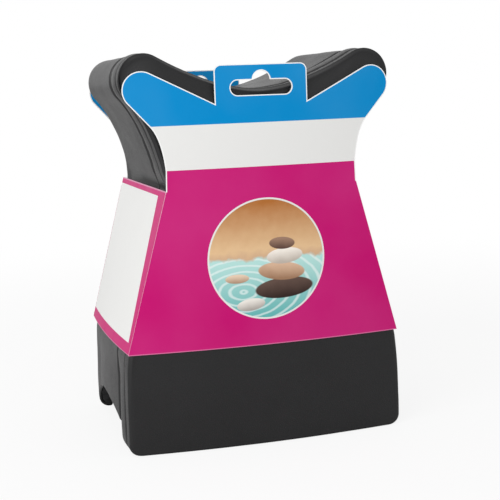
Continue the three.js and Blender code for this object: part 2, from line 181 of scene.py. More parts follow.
class FootrestStage(bpy.types.PropertyGroup):
    """Camera and light"""

    eye: FloatVectorProperty(
        name="Camera place", description="Where the camera stands", size=3, subtype="XYZ",
        default=(-0.1676, -0.5994, 0.1821),
    )
    yaw: turn("Turn", "Turn of the camera to the right", 16.437)
    pitch: turn("Tilt", "Tilt of the camera downwards", 8.078)
    roll: turn("Roll", "Roll of the camera", -2.070)
    lens: FloatProperty(name="Lens", description="Focal length on a 36 mm frame", default=80.48, unit="CAMERA")
    fill: FloatProperty(name="Fill light", description="Strength of the light from all round", default=0.62)
    key: FloatProperty(name="Key light", description="Power of the large lamp", default=12.4, unit="POWER")


# The block's outline, seen from the front


def bezier(points, count):
    t = np.linspace(0, 1, count + 1)[1:, None]
    last = len(points) - 1
    return sum(
        math.comb(last, k) * (1 - t) ** (last - k) * t ** k * np.array(p, float) for k, p in enumerate(points)
    )


def arc(centre, radius, start, end, count):
    a = np.linspace(start, end, count + 1)[1:]
    return np.stack([centre[0] + radius * np.cos(a), centre[1] + radius * np.sin(a)], axis=1)


def share(value, reach):
    """How much of a reach a value makes up, from 0 to 1"""
    return np.clip(value / reach, 0, 1)


def side_half(block, z):
    """Half width of the slanted side at a height"""
    rise = block.slant_high - block.slant_low
    return block.slant_low_half - (block.slant_low_half - block.slant_high_half) * (z - block.slant_low) / rise


def side_slope(block):
    return (block.slant_low_half - block.slant_high_half) / (block.slant_high - block.slant_low)


def crown_at(block, x):
    return block.crown * (1 - (x / block.crown_half) ** 2)


def eased(block, inset, z):
    """An inset that eases off above the base, so that the outline never folds over itself in a wing"""
    rise = share(z - block.slant_low, block.slant_high - block.slant_low)
    smooth = rise * rise * (3 - 2 * rise)
    strain = inset * smooth / (block.wing_radius - block.wing_heart)
    return inset / (1 + strain ** 3) ** (1 / 3)


class Outline:
    """The closed outline as points with normals and the distance along it"""

    def __init__(self, block):
        self.block = block
        self.corner_x = block.base_half - block.base_corner
        bulge = block.slant_low - (block.base_half - block.slant_low_half) / side_slope(block)
        turn_z = block.slant_high + block.waist_turn
        centre = np.array([block.wing_x, block.wing_z])

        def on_wing(angle, reach=0):
            along = np.array([-math.sin(angle), math.cos(angle)])
            return centre + block.wing_radius * np.array([math.cos(angle), math.sin(angle)]) + along * reach

        corner = (self.corner_x, block.base_corner)
        foot = (block.slant_low_half, block.slant_low)
        waist = (block.slant_high_half, block.slant_high)
        under, over = on_wing(block.wing_under), on_wing(block.wing_over)
        half = np.concatenate([
            [(0, 0)],
            bezier([(0, 0), (self.corner_x, 0)], 40),
            arc(corner, block.base_corner, -math.pi / 2, 0, 12),
            bezier([(block.base_half, block.base_corner), (block.base_half, bulge), foot], 30),
            bezier([foot, waist], 54),
            bezier([waist, (side_half(block, turn_z), turn_z),
                    on_wing(block.wing_under, -block.wing_under_reach), under], 34),
            arc(centre, block.wing_radius, block.wing_under, block.wing_over, 26),
            bezier([over, on_wing(block.wing_over, block.wing_top_reach),
                    (block.saddle_flat, block.saddle), (0, block.saddle)], 44),
        ])
        self.half_count = len(half)
        self.point = np.concatenate([half, half[1:-1][::-1] * (-1, 1)])
        step = np.roll(self.point, -1, axis=0) - np.roll(self.point, 1, axis=0)
        self.normal = np.stack([step[:, 1], -step[:, 0]], axis=1)
        self.normal /= np.linalg.norm(self.normal, axis=1)[:, None]
        lengths = np.linalg.norm(np.roll(self.point, -1, axis=0) - self.point, axis=1)
        self.along = np.concatenate([[0], np.cumsum(lengths)])
        self.total = self.along[-1]

    def at(self, distances):
        """Points and normals at distances along the outline, which may run past its ends"""
        s = np.mod(distances, self.total)
        loop = [np.append(column, column[0]) for column in (*self.point.T, *self.normal.T)]
        x, z, nx, nz = (np.interp(s, self.along, column) for column in loop)
        size = np.hypot(nx, nz)
        return np.stack([x, z], axis=1), np.stack([nx / size, nz / size], axis=1)

    def distance_at_height(self, z):
        """Distance to where the right side of the base first reaches a height"""
        rows = slice(0, self.half_count // 2)
        return float(np.interp(z, self.point[rows, 1], self.along[rows]))

    def ring(self, distances, y, inset, sink=0.0, lean=0.0, reach=1.0, bow=0.0):
        """The outline drawn in and set at one depth, with the plain points and normals that it comes from"""
        block = self.block
        point, normal = self.at(distances)
        bottom = block.front_bottom if y < 0 else 0.0
        down = np.maximum(0, -normal[:, 1])
        sunk = sink * (lean + (1 - lean) * down)
        foot = point[:, 1] <= block.base_corner + 0.001 * MM
        drawn = eased(block, inset, point[:, 1]) * (1 - (1 - bottom) * down)
        across = np.where(foot, inset * np.clip(point[:, 0] / self.corner_x, -1, 1), normal[:, 0] * drawn)
        upward = np.where(foot, normal[:, 1] * inset * bottom, normal[:, 1] * drawn)
        x = (point[:, 0] - across - normal[:, 0] * sunk) * reach
        z = block.hub + (point[:, 1] - upward - normal[:, 1] * sunk - block.hub) * reach
        return np.stack([x, y + bow * crown_at(block, x), z], axis=1), point, normal


# How leatherette lies: drawn in at a seam, gathered beside it, and a little uneven elsewhere

FRONT_SEAM, BAND_SEAM, BACK_SEAM = 1, 7, 13
NEAR_SEAM = [n * MM for n in (0.28, 0.4, 0.58, 0.85, 1.2, 1.65, 2.3, 3.0, 3.8)]
FADE = 14 * MM  # height beside the card over which a shape of the sides comes in
CLEAR_ABOVE, CLEAR_BELOW = 2 * MM, 4 * MM  # how far from the card such a shape begins
BOW_BELOW = 3 * MM  # how far below the card the sides' swell begins to change
BASE_OVER, BASE_FADE = 10 * MM, 20 * MM  # where over the base a seam's depth changes, and over what height
CARD_UNDER, CARD_OVER = 2 * MM, 3 * MM  # how far past its edges the card holds the cover flat
CARD_TURN = 1.2  # angle round a rolled edge up to which the card lies on the cover
TUCK_BACK, TUCK_FADE = 10 * MM, 35 * MM  # how far from the back the tuck ends, and how it fades to there
FLOOR_FADE = 6 * MM  # height over which relief comes in, so that the feet stay flat
BAND_FLOOR_FADE = 12 * MM
HOLLOW, HOLLOW_REACH = 0.150, 0.022  # where the outline is hollow, and how far from there
GATHER_REACH = 5 * MM
GATHER_LEAST, GATHER_HOLLOW = 0.35, 0.9  # depth of the gathers everywhere, and what the hollow adds
# Layers of unevenness: height, width and step of the seed
FOLDS = ((1.0, 4.2 * MM, 0), (0.6, 2.3 * MM, 5))
UNEVEN = ((0.35 * MM, 30 * MM, 0), (0.12 * MM, 11 * MM, 3))
FACE_UNEVEN = ((0.22 * MM, 24 * MM, 2),)
MOST_UNDER_CARD, MOST_ON_FACE = 0.10 * MM, 0.08 * MM


def waves(points, seed, layers):
    """Smooth unevenness at points, in layers"""
    total = 0
    for height, width, step in layers:
        shift = Vector((seed + step, 1.7 * (seed + step), -(seed + step)))
        total = total + height * np.array([noise.noise(Vector(p) / width + shift) for p in points])
    return total


def bow_at(block, y, z, side):
    """Swell of the base's sides, which the card follows: none at the waist and at the edges"""
    rise = share(block.slant_high - z, block.slant_high - block.slant_low)
    under_card = 1 - (2 * y / block.depth) ** 2
    below_card = np.clip(1 - (y / (block.depth / 2 - block.band_seam)) ** 2, 0, 1)
    low = share(block.slant_low - BOW_BELOW - z, FADE)
    swell = under_card + (np.minimum(below_card, under_card) - under_card) * low
    return block.bow * rise * swell * side ** 2


def above_card(block, z):
    return share(z - block.slant_high - CLEAR_ABOVE, FADE)


def pillow_at(block, z, inwards):
    """How far the front panel falls away above the waist, at a distance in from its edge"""
    return block.pillow * above_card(block, z) * np.exp(-(inwards / block.pillow_reach) ** 2)


def pressed_at(block, y, z, angle, side):
    """How the sleeve's upper edge shapes the covers: pressed in at the sides, full at the round back edges"""
    above = z - block.slant_high
    forward = float(share(block.depth / 2 - TUCK_BACK - y, TUCK_FADE))
    tuck = block.tuck * forward * math.cos(angle) * np.exp(-(above / block.tuck_reach) ** 2)
    rounded = math.sin(math.pi * min(angle / block.squeeze_turn, 1))
    squeeze = block.squeeze * max(0, side) * rounded * np.exp(-(above / block.squeeze_reach) ** 2)
    return squeeze - tuck


def seam_fall(block, seam, distance, z):
    """How far the cover is drawn in at a distance from a seam"""
    low = share(block.slant_low + BASE_OVER - z, BASE_FADE)
    roll, dip, base_dip = {
        FRONT_SEAM: (block.seam_roll, block.seam_dip, block.front_dip),
        BAND_SEAM: (block.seam_roll, block.seam_dip, block.base_dip),
        BACK_SEAM: (block.back_roll, block.back_dip, block.back_dip),
    }[seam]
    t = np.clip(1 - distance / roll, 0, 1)
    return (dip + (base_dip - dip) * low) * (1 - np.sqrt(1 - t ** 2))


def gathers(block, flat, distance, seam):
    """Short folds that run out from a seam, deepest where the outline is hollow"""
    hollow = np.exp(-((flat[:, 1] - HOLLOW) / HOLLOW_REACH) ** 2)
    fold = waves([(x, z, seam) for x, z in flat], seam, FOLDS)
    depth = block.pucker * (GATHER_LEAST + GATHER_HOLLOW * hollow)
    return depth * fold * math.exp(-max(distance, 0) / GATHER_REACH)


def facing(normal, angle, side):
    """Directions out of a cover, at an angle round its rolled edge"""
    level = normal * math.cos(angle)
    return np.stack([level[:, 0], np.full(len(normal), side * math.sin(angle)), level[:, 1]], axis=1)


class Cover:
    """One cover as rows of points, in front (side -1) or at the back (side 1)"""

    FACE_REACHES = (
        0.992, 0.975, 0.95, 0.915, 0.87, 0.82, 0.76, 0.7, 0.63, 0.56, 0.48, 0.4, 0.32, 0.24, 0.16, 0.08
    )

    def __init__(self, block, side, radius, seed):
        self.block, self.side, self.radius, self.seed = block, side, radius, seed
        self.outline = Outline(block)
        self.whole = self.outline.along[:-1]

    def depth(self, angle):
        """Depth of the rolled edge at an angle round it"""
        return self.side * (self.block.depth / 2 - self.radius * (1 - math.sin(angle)))

    def row(self, angle, y, seams, distances=None):
        """One row at an angle round the rolled edge, with its relief"""
        block, side = self.block, self.side
        distances = self.whole if distances is None else distances
        inset = self.radius * (1 - math.cos(angle))
        points, flat, normal = self.outline.ring(distances, y, inset, bow=side * math.sin(angle) ** 4)
        z = flat[:, 1]
        lift = waves(points, self.seed, UNEVEN)
        for seam, distance in seams:
            lift = lift + gathers(block, flat, distance, seam)
            lift = lift - seam_fall(block, seam, distance, z)
        under_card = (z > block.slant_low - CARD_UNDER) & (z < block.slant_high + CARD_OVER)
        held = under_card & (angle < CARD_TURN)
        lift = np.where(held, np.minimum(lift, MOST_UNDER_CARD), lift)
        lift = lift + bow_at(block, y, z, normal[:, 0]) * math.cos(angle)
        lift = lift + pressed_at(block, y, z, angle, side)
        lift = np.where(lift > 0, lift * share(points[:, 2], FLOOR_FADE), lift)
        if side < 0:
            points[:, 1] += pillow_at(block, z, 0) * math.sin(angle) ** 2
        return points + facing(normal, angle, side) * lift[:, None]

    def face(self):
        """Rings from the rolled edge to the middle of the crowned face"""
        block, side = self.block, self.side
        rings = []
        for reach in self.FACE_REACHES:
            y = side * block.depth / 2
            points, flat, _ = self.outline.ring(self.whole, y, self.radius, reach=reach, bow=side)
            lift = np.minimum(waves(points, self.seed, FACE_UNEVEN), MOST_ON_FACE)
            if side < 0:
                inwards = (1 - reach) * np.hypot(flat[:, 0], flat[:, 1] - block.hub)
                lift = lift - pillow_at(block, flat[:, 1], inwards)
            points[:, 1] += side * lift
            rings.append(points)
        return rings

    def panel(self, name, rows):
        """A closed panel of its rolled rows, the rings of its face and their middle"""
        points, faces = loft(rows + self.face())
        last, count = len(points), len(self.whole)
        faces += [(last - count + i, last - count + (i + 1) % count, last) for i in range(count)]
        middle = [[0, self.side * (self.block.depth / 2 + self.block.crown), self.block.hub]]
        obj = mesh_piece(name, np.concatenate([points, middle]), faces)
        thicken(obj, self.block.cover)
        return obj


# Meshes


def mesh_piece(name, points, faces):
    mesh = bpy.data.meshes.new(name)
    mesh.from_pydata([tuple(p) for p in points], [], faces)
    obj = bpy.data.objects.new(name, mesh)
    bpy.context.scene.collection.objects.link(obj)
    bm = bmesh.new()
    bm.from_mesh(mesh)
    bmesh.ops.remove_doubles(bm, verts=bm.verts, dist=0.002 * MM)
    bmesh.ops.dissolve_degenerate(bm, edges=bm.edges, dist=0.002 * MM)
    bmesh.ops.recalc_face_normals(bm, faces=bm.faces)
    bm.to_mesh(mesh)
    bm.free()
    mesh.shade_smooth()
    return obj


def loft(rows, closed=True):
    """Faces between rows of points of one length"""
    count = len(rows[0])
    faces = []
    for a in range(0, (len(rows) - 1) * count, count):
        b = a + count
        for i in range(count if closed else count - 1):
            j = (i + 1) % count
            faces.append((a + i, a + j, b + j, b + i))
    return np.concatenate(rows), faces


def select_only(obj):
    bpy.ops.object.select_all(action="DESELECT")
    obj.select_set(True)
    bpy.context.view_layer.objects.active = obj


def edit_all(obj):
    select_only(obj)
    bpy.ops.object.mode_set(mode="EDIT")
    bpy.ops.mesh.select_all(action="SELECT")


def shade_by_angle(obj, degrees):
    select_only(obj)
    bpy.ops.object.shade_smooth_by_angle(angle=math.radians(degrees))


def apply_modifier(obj, kind, name, **settings):
    select_only(obj)
    modifier = obj.modifiers.new(name, kind)
    for key, value in settings.items():
        setattr(modifier, key, value)
    bpy.ops.object.modifier_apply(modifier=name)


def thicken(obj, thickness):
    apply_modifier(obj, "SOLIDIFY", "cover thickness", thickness=thickness, offset=-1.0, use_even_offset=True,
                   use_quality_normals=True)


def cut_by(obj, cutter):
    apply_modifier(obj, "BOOLEAN", "arch", operation="DIFFERENCE", solver="EXACT", object=cutter)
    bpy.data.objects.remove(cutter)
    if not obj.data.polygons:
        raise RuntimeError(f"nothing is left of {obj.name} after the cut")


def arch_edge_points(middle, half, spring, height):
    """The arch's section from below the floor on one side to the other, as places across it and heights"""
    below = -20 * MM
    swing = np.linspace(math.pi, 0, 65)
    edge = [(middle + half * math.cos(a), spring + (height - spring) * math.sin(a)) for a in swing]
    return [(middle - half, below), *edge, (middle + half, below)]


def cutter_from(near, move):
    near = np.array(near)
    count = len(near)
    points, faces = loft([near, near + np.array(move)])
    faces += [tuple(range(count))[::-1], tuple(range(count, 2 * count))]
    return mesh_piece("arch cutter", points, faces)


def copy_of_node(name, node_name):
    """A merged copy of a node's solid, shaded smooth, to carry a soft finish"""
    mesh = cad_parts[node_name].data.copy()
    mesh.name = name
    obj = bpy.data.objects.new(name, mesh)
    bpy.context.scene.collection.objects.link(obj)
    mesh.transform(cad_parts[node_name].matrix_world)
    bm = bmesh.new()
    bm.from_mesh(mesh)
    bmesh.ops.remove_doubles(bm, verts=bm.verts, dist=0.005 * MM)
    bm.to_mesh(mesh)
    bm.free()
    shade_by_angle(obj, 40)
    return obj


def assign(obj, *mats):
    obj.data.materials.clear()
    for mat in mats:
        obj.data.materials.append(mat)


def stand_for(obj, body, node_name):
    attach(obj, body)
    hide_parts(node_name)


def finish_soft(obj, node_name, mat):
    assign(obj, mat)
    stand_for(obj, "rest", node_name)


# Materials

GRAIN = 1.0 * MM


def node(mat, kind, inputs=None, **settings):
    new = mat.node_tree.nodes.new("ShaderNode" + kind)
    for key, value in settings.items():
        setattr(new, key, value)
    connect(mat, new, inputs or {})
    return new


def connect(mat, target, inputs):
    """Sets or links a node's inputs"""
    for key, value in inputs.items():
        value = getattr(value, "socket", value)
        if isinstance(value, bpy.types.NodeSocket):
            mat.node_tree.links.new(value, target.inputs[key])
        else:
            target.inputs[key].default_value = value


class Tone:
    """A number or colour in a material, on which arithmetic makes the nodes"""

    def __init__(self, mat, socket):
        self.mat, self.socket = mat, socket

    def math(self, operation, other=0.0):
        made = node(self.mat, "Math", {0: self, 1: other}, operation=operation)
        return Tone(self.mat, made.outputs[0])

    def __add__(self, other):
        return self.math("ADD", other)

    def __sub__(self, other):
        return self.math("SUBTRACT", other)

    def __mul__(self, other):
        return self.math("MULTIPLY", other)

    def __truediv__(self, other):
        return self.math("DIVIDE", other)

    def __gt__(self, other):
        return self.math("GREATER_THAN", other)

    def __lt__(self, other):
        return self.math("LESS_THAN", other)

    def __or__(self, other):
        return self.math("MAXIMUM", other)

    def remap(self, low, high, to_low=0.0, to_high=1.0, **settings):
        inputs = {"Value": self, "From Min": low, "From Max": high, "To Min": to_low, "To Max": to_high}
        return Tone(self.mat, node(self.mat, "MapRange", inputs, **settings).outputs["Result"])

    def mix(self, low, high):
        """The colour low where this number is 0 and high where it is 1"""
        ends = [(*end, 1) if isinstance(end, tuple) else end for end in (low, high)]
        mixed = node(self.mat, "Mix", {"Factor": self}, data_type="RGBA")
        connect(self.mat, mixed, {6: ends[0], 7: ends[1]})
        return Tone(self.mat, mixed.outputs[2])


def hypot(a, b):
    return (a.math("POWER", 2.0) + b.math("POWER", 2.0)).math("SQRT")


def place_of(mat):
    """The piece's own coordinates, from one node for each material"""
    made = mat.node_tree.nodes.get("Texture Coordinate") or node(mat, "TexCoord")
    return made.outputs["Object"]


def pattern(mat, kind, scale, output="Fac", inputs=None, **settings):
    """A texture on the piece's own coordinates"""
    placed = {"Vector": place_of(mat), "Scale": scale, **(inputs or {})}
    return Tone(mat, node(mat, "Tex" + kind, placed, **settings).outputs[output])


def speckle(mat, scale, detail, output="Fac", **inputs):
    return pattern(mat, "Noise", scale, output, {"Detail": detail, **inputs})


def bump(mat, height, strength, depth, **inputs):
    inputs.update({"Strength": strength, "Distance": depth, "Height": height})
    return node(mat, "Bump", inputs).outputs["Normal"]


def new_material(name, colour, roughness, specular):
    """A material and its shader, or no shader where the material is there already"""
    mat = bpy.data.materials.get(name)
    if mat:
        return mat, None
    mat = bpy.data.materials.new(name)
    mat.use_nodes = True
    shader = mat.node_tree.nodes["Principled BSDF"]
    connect(mat, shader, {"Base Color": (*colour, 1), "Roughness": roughness, "Specular IOR Level": specular})
    mat.diffuse_color = (*colour, 1)
    return mat, shader


def leatherette(name, colour, roughness, specular):
    """Embossed vinyl: small rounded grain cells, soft sheen, slightly uneven colour"""
    mat, shader = new_material(name, colour, roughness, specular)
    if not shader:
        return mat
    drift = speckle(mat, 0.35 / GRAIN, 2.0, "Color")
    warped = node(mat, "VectorMath", {0: drift, 1: (0.9 * GRAIN,) * 3}, operation="MULTIPLY").outputs[0]
    bent = node(mat, "VectorMath", {0: place_of(mat), 1: warped}, operation="ADD").outputs[0]
    cells = pattern(mat, "Voronoi", 1 / GRAIN, "Distance", {"Vector": bent}, feature="DISTANCE_TO_EDGE")
    pebble = cells.remap(0.0, 0.32)
    pores = speckle(mat, 3.2 / GRAIN, 3.0)
    cloud = speckle(mat, 34.0, 4.0, Roughness=0.6)
    valley = pebble.remap(0.0, 0.35, 0.55, 0.0)
    dark, light, deep = (tuple(level * c for c in colour) for level in (0.82, 1.22, 0.45))
    connect(mat, shader, {
        "Normal": bump(mat, pebble + pores * 0.35, 0.32, 0.07 * MM),
        "Base Color": valley.mix(cloud.remap(0.3, 0.7).mix(dark, light), deep),
        "Roughness": cloud.remap(0.3, 0.7, roughness - 0.04, roughness + 0.05) + valley * 0.25,
    })
    return mat


def panel_leatherette(block):
    return leatherette("panel leatherette", block.front_colour, 0.43, 0.36)


# Leatherette of the band and the wide strip, its colour painted lighter than the panels' for the light that
# falls on the sides
def side_leatherette(block):
    return leatherette("side leatherette", block.side_colour_lit, 0.40, 0.44)


def foam_material():
    """Open-cell foam: small dark pores"""
    mat, shader = new_material("grey foam", (0.15, 0.155, 0.16), 1.0, 0.2)
    if shader:
        pores = pattern(mat, "Voronoi", 900.0, "Distance", feature="F1")
        connect(mat, shader, {
            "Normal": bump(mat, pores, 0.8, 0.25 * MM),
            "Base Color": pores.remap(0.1, 0.6).mix((0.06, 0.062, 0.065), (0.19, 0.195, 0.2)),
        })
    return mat


def lining_material():
    """Non-woven lining: fine fibres pressed in small dots"""
    mat, shader = new_material("black lining", (0.030, 0.030, 0.032), 0.92, 0.25)
    if shader:
        dots = pattern(mat, "Voronoi", 520.0, "Distance", {"Randomness": 0.25}, feature="F1")
        fibre = speckle(mat, 2600.0, 4.0)
        creases = speckle(mat, 42.0, 3.0, Distortion=0.8)
        fine = bump(mat, dots.remap(0.18, 0.34) + fibre * 0.9, 0.5, 0.08 * MM)
        connect(mat, shader, {
            "Normal": bump(mat, creases, 0.5, 0.9 * MM, Normal=fine),
            "Base Color": fibre.mix((0.016, 0.016, 0.017), (0.036, 0.036, 0.038)),
        })
    return mat


def thread_material():
    """Twisted thread: slanting bands"""
    mat, shader = new_material("black thread", (0.008, 0.008, 0.009), 0.7, 0.4)
    if shader:
        twist = pattern(mat, "Wave", 900.0, inputs={"Distortion": 1.2}, bands_direction="DIAGONAL")
        connect(mat, shader, {
            "Normal": bump(mat, twist, 0.6, 0.06 * MM),
            "Base Color": twist.mix((0.005, 0.005, 0.0055), (0.013, 0.013, 0.014)),
        })
    return mat


def axes_of(mat):
    parts = node(mat, "SeparateXYZ", {0: place_of(mat)}).outputs
    return [Tone(mat, parts[i]) for i in range(3)]


def finish_card(mat, shader, colour):
    """Coated card: faint mottling of the ink, fibres in the coating, gloss that varies a little"""
    mottle = speckle(mat, 55.0, 5.0, Roughness=0.65)
    fibre = speckle(mat, 1500.0, 3.0)
    connect(mat, shader, {
        "Base Color": mottle.remap(0.35, 0.75, 0.0, 0.006).mix(colour, (0.85, 0.83, 0.82)),
        "Normal": bump(mat, fibre, 0.12, 0.03 * MM),
        "Roughness": mottle.remap(0.3, 0.7, 0.36, 0.48),
    })


# Stones of the printed picture: middle and half sizes in the disc, lean, and their dark and light colours
STONES = (
    ((0.28, -0.50), (0.50, 0.17), 0.05, (0.035, 0.020, 0.017), (0.12, 0.075, 0.06)),
    ((0.24, -0.22), (0.40, 0.15), -0.08, (0.34, 0.19, 0.11), (0.66, 0.44, 0.30)),
    ((0.30, 0.03), (0.31, 0.13), 0.06, (0.50, 0.44, 0.38), (0.88, 0.82, 0.74)),
    ((0.26, 0.24), (0.22, 0.10), -0.05, (0.11, 0.06, 0.045), (0.33, 0.20, 0.14)),
    ((-0.52, -0.30), (0.20, 0.075), 0.0, (0.42, 0.27, 0.18), (0.78, 0.60, 0.45)),
    ((-0.30, -0.74), (0.24, 0.10), 0.1, (0.40, 0.36, 0.33), (0.82, 0.78, 0.72)),
)


def disc_picture(mat, sleeve, x, z):
    """A calm picture of the builder's own: smooth stones over rippled water under a warm sky"""
    u = x / sleeve.disc_radius
    v = (z - sleeve.disc_z) / sleeve.disc_radius
    sway = (speckle(mat, 160.0, 5.0) - 0.5) * 0.25
    height = v + sway
    sky = height.remap(0.15, 0.95).mix((0.74, 0.50, 0.28), (0.42, 0.15, 0.035))
    shore = height.remap(0.02, 0.16).mix((0.62, 0.40, 0.25), sky)
    rings = ((hypot((u + 0.42) * 0.55, v + 0.52) + sway * 0.12) * 62.0).math("SINE")
    water = v.remap(-0.95, -0.05).mix((0.12, 0.44, 0.43), (0.45, 0.72, 0.68))
    rippled = rings.remap(0.25, 1.0, 0.0, 0.55).mix(water, (0.86, 0.92, 0.90))
    picture = height.remap(-0.02, 0.04).mix(rippled, shore)
    for (middle_u, middle_v), (wide, high), lean, dark, light in STONES:
        du, dv = u - middle_u, v - middle_v
        cos, sin = math.cos(lean), math.sin(lean)
        across = du * (cos / wide) + dv * (sin / wide)
        level = dv * (cos / high) - du * (sin / high)
        stone = (level + sway * 2.4).remap(-0.8, 0.7).mix(dark, light)
        picture = hypot(across, level).remap(0.97, 1.03, 1.0, 0.0).mix(picture, stone)
    return picture, hypot(u, v)


def printed_card(block, sleeve, name, with_disc):
    """Bands of flat colour with a painted highlight along the bottom edge and painted sheen in the blue, and
    on the front a rimmed disc with a picture
    """
    mat, shader = new_material(name, sleeve.magenta, 0.42, 0.08)
    if not shader:
        return mat
    deep, white, blue = tuple(sleeve.magenta), tuple(sleeve.white), tuple(sleeve.blue)
    x, _, z = axes_of(mat)
    blotch_and_sheen = speckle(mat, 16.0, 2.0)
    pink = blotch_and_sheen.remap(0.35, 0.7).mix(deep, (deep[0] * 1.05, deep[1] + 0.018, deep[2] + 0.035))
    # A paler pink line along the bottom edge: a painted highlight of the card's rounded edge
    pink = (z < block.slant_low + 0.45 * MM).mix(pink, (0.66, 0.16, 0.33))
    colour = (z > sleeve.white_low).mix(pink, white)
    # Paler patches in the blue are painted sheen; the same noise gives the magenta its blotches
    top = blotch_and_sheen.remap(0.45, 0.75, 0.0, 0.5).mix(blue, (0.05, 0.30, 0.62))
    colour = (z > sleeve.white_high).mix(colour, top)
    if with_disc:
        picture, reach = disc_picture(mat, sleeve, x, z)
        colour = (reach < 1.0).mix(colour, (reach > 0.972).mix(picture, white))
    finish_card(mat, shader, colour)
    return mat


def side_card(block, sleeve):
    """White field with a magenta border along the crease, the top and the bottom, with a paler line painted at
    its two folds as a highlight
    """
    mat, shader = new_material("side card", sleeve.white, 0.42, 0.10)
    if not shader:
        return mat
    _, y, z = axes_of(mat)
    low, high = block.slant_low, block.slant_high
    front = y < z.remap(57 * MM, 131.2 * MM, -51.5 * MM, -43.4 * MM)
    border = front | (z < low + 5.6 * MM) | (z > high - 3.0 * MM)
    # Paler lines along the top and bottom edges: a painted highlight of the card's rounded edges
    painted_edge_highlight = (z > high - 0.5 * MM) | (z < low + 0.45 * MM)
    colour = border.mix(tuple(sleeve.white), tuple(sleeve.magenta))
    finish_card(mat, shader, painted_edge_highlight.mix(colour, (0.62, 0.24, 0.38)))
    return mat


def plain_card(sleeve):
    mat, shader = new_material("plain card", sleeve.bare, 0.6, 0.4)
    if shader:
        finish_card(mat, shader, tuple(sleeve.bare))
    return mat


# The stage and the pieces of the block


class FOOTREST_OT_stage(bpy.types.Operator):
    """Makes the camera, the floor and the light"""

    bl_idname = "footrest.stage"
    bl_label = "Stage"

    def execute(self, context):
        stage = context.scene.footrest_stage
        self.make_camera(context, stage)
        self.make_floor()
        self.make_world(context, stage)
        self.make_lamp(stage)
        context.scene.view_settings.view_transform = "Standard"
        return {"FINISHED"}

    def add(self, name, data, place, facing_matrix):
        obj = bpy.data.objects.new(name, data)
        bpy.context.scene.collection.objects.link(obj)
        obj.matrix_world = Matrix.Translation(place) @ facing_matrix.to_4x4()
        return obj

    def make_camera(self, context, stage):
        camera = bpy.data.cameras.new("camera")
        camera.lens = stage.lens
        camera.sensor_width = 36
        camera.clip_start = 0.01
        up = Vector((0, 0, 1))
        flat = Vector((math.sin(stage.yaw), math.cos(stage.yaw), 0))
        right = Vector((math.cos(stage.yaw), -math.sin(stage.yaw), 0))
        forward = flat * math.cos(stage.pitch) - up * math.sin(stage.pitch)
        raised = up * math.cos(stage.pitch) + flat * math.sin(stage.pitch)
        across = right * math.cos(stage.roll) + raised * math.sin(stage.roll)
        upright = raised * math.cos(stage.roll) - right * math.sin(stage.roll)
        facing_matrix = Matrix((across, upright, -forward)).transposed()
        context.scene.camera = self.add("camera", camera, Vector(stage.eye), facing_matrix)

    def make_floor(self):
        """A pale floor that fades to white away from the object"""
        bpy.ops.object.select_all(action="DESELECT")
        bpy.ops.mesh.primitive_plane_add(size=8, location=(0, 0, 0))
        floor = bpy.context.object
        floor.name = "floor"
        mat, shader = new_material("floor", (0.9, 0.9, 0.9), 0.9, 0.1)
        glow = node(mat, "Emission", {"Color": (1, 1, 1, 1), "Strength": 1.0})
        far = Tone(mat, node(mat, "VectorMath", {0: place_of(mat)}, operation="LENGTH").outputs["Value"])
        fade = far.remap(0.25, 0.8, 0.86, 1.0, interpolation_type="SMOOTHSTEP")
        seen = fade * node(mat, "LightPath").outputs["Is Camera Ray"]
        blend = node(mat, "MixShader", {"Fac": seen, 1: shader.outputs[0], 2: glow.outputs[0]})
        connect(mat, mat.node_tree.nodes["Material Output"], {"Surface": blend.outputs[0]})
        floor.data.materials.append(mat)

    def make_world(self, context, stage):
        """White where it is seen, and an even fill light elsewhere"""
        world = bpy.data.worlds.new("studio")
        world.use_nodes = True
        fill = world.node_tree.nodes["Background"]
        connect(world, fill, {"Color": (1, 1, 1, 1), "Strength": stage.fill})
        white = node(world, "Background", {"Color": (1, 1, 1, 1), "Strength": 1.0})
        path = node(world, "LightPath").outputs
        rays = ("Is Camera Ray", "Is Glossy Ray", "Is Transmission Ray")
        camera, glossy, through = (Tone(world, path[ray]) for ray in rays)
        seen = camera | (glossy | through)
        blend = node(world, "MixShader", {"Fac": seen, 1: fill.outputs[0], 2: white.outputs[0]})
        connect(world, world.node_tree.nodes["World Output"], {"Surface": blend.outputs[0]})
        context.scene.world = world

    def make_lamp(self, stage):
        light = bpy.data.lights.new("key lamp", "AREA")
        light.size = 1.0
        light.energy = stage.key
        place = Vector((-1.0, -0.85, 0.75))
        aim = Vector((0, 0, 0.1)) - place
        self.add("key lamp", light, place, aim.to_track_quat("-Z", "Y").to_matrix())


class FOOTREST_OT_front_panel(bpy.types.Operator):
    """Front panel: crowned, rolled over its edge into the seam"""

    bl_idname = "footrest.front_panel"
    bl_label = "Front panel"

    def execute(self, context):
        block = context.scene.footrest_block
        cover = Cover(block, -1, block.front_edge, seed=2)
        seam_y = -block.depth / 2 + block.front_seam
        rows = []
        for near in [*NEAR_SEAM, seam_y - cover.depth(0)]:
            rows.append(cover.row(0, seam_y - near, [(FRONT_SEAM, near)]))
        for angle in np.radians(range(10, 91, 10)):
            near = block.front_seam - cover.radius + cover.radius * angle
            rows.append(cover.row(angle, cover.depth(angle), [(FRONT_SEAM, near)]))
        obj = cover.panel("front_panel", rows)
        finish_soft(obj, "front_cover", panel_leatherette(block))
        return {"FINISHED"}


